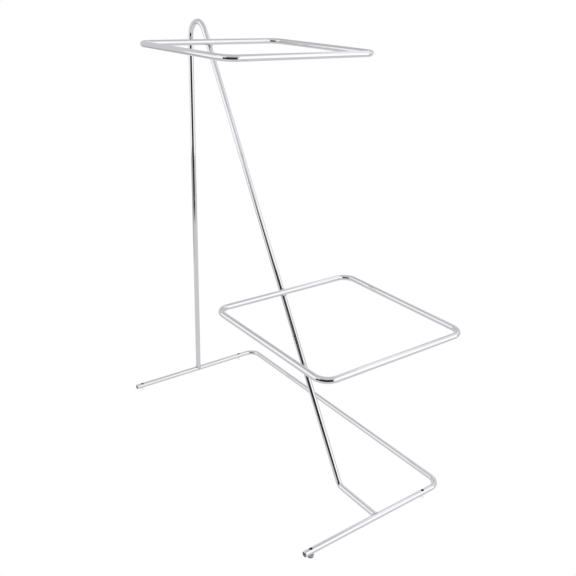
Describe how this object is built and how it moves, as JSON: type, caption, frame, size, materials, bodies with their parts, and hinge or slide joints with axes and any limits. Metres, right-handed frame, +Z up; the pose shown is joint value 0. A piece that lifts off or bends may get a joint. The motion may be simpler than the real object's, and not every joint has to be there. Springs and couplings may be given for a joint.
{
  "type": "tiered cake stand",
  "caption": "Two-tier cake stand bent from chromed round bar: square rings welded to a leaning hairpin support on a three-sided floor bar, with feet.",
  "frame": {"origin": "centre of the bounding box at table level, under all four feet", "axes": "+Z up, +X from the upright's side of the floor bar to the side where the diagonal lands, +Y from the arms' free ends to the long floor bar"},
  "size_m": [0.4892, 0.244, 0.5984],
  "materials": {
    "chromed_bar": "bright chrome plate on bent round bar",
    "weld_bead": "plated over a lightly rippled weld",
    "clear_foot": "clear moulded vinyl",
    "foot_pad": "dull dark rubber",
    "foot_screw": "zinc plated, knurled rim"
  },
  "bodies": {
    "stand": {"floor_bar": "chromed_bar", "support_bar": "chromed_bar", "upper_ring": "chromed_bar", "lower_ring": "chromed_bar", "upright_weld": "weld_bead", "tail_weld": "weld_bead", "upper_ring_weld": "weld_bead", "lower_ring_weld": "weld_bead", "front_left_foot": "clear_foot", "rear_left_foot": "clear_foot", "rear_right_foot": "clear_foot"},
    "pad": {"levelling_pad": "foot_pad"},
    "screw": {"levelling_screw": "foot_screw"}
  },
  "joints": [
    {"name": "foot_lift", "type": "slide", "parent": "stand", "child": "pad", "axis": [0, 0, -1], "range_m": [0, 0.0035]},
    {"name": "foot_turn", "type": "hinge", "parent": "pad", "child": "screw", "pos_m": [0.23036, -0.112, 0.002], "axis": [0, 0, -1], "range_deg": [0, 1800]}
  ],
  "couplings": [
    {"joint": "foot_turn", "follows": "foot_lift", "rad_per_m": 8976}
  ]
}
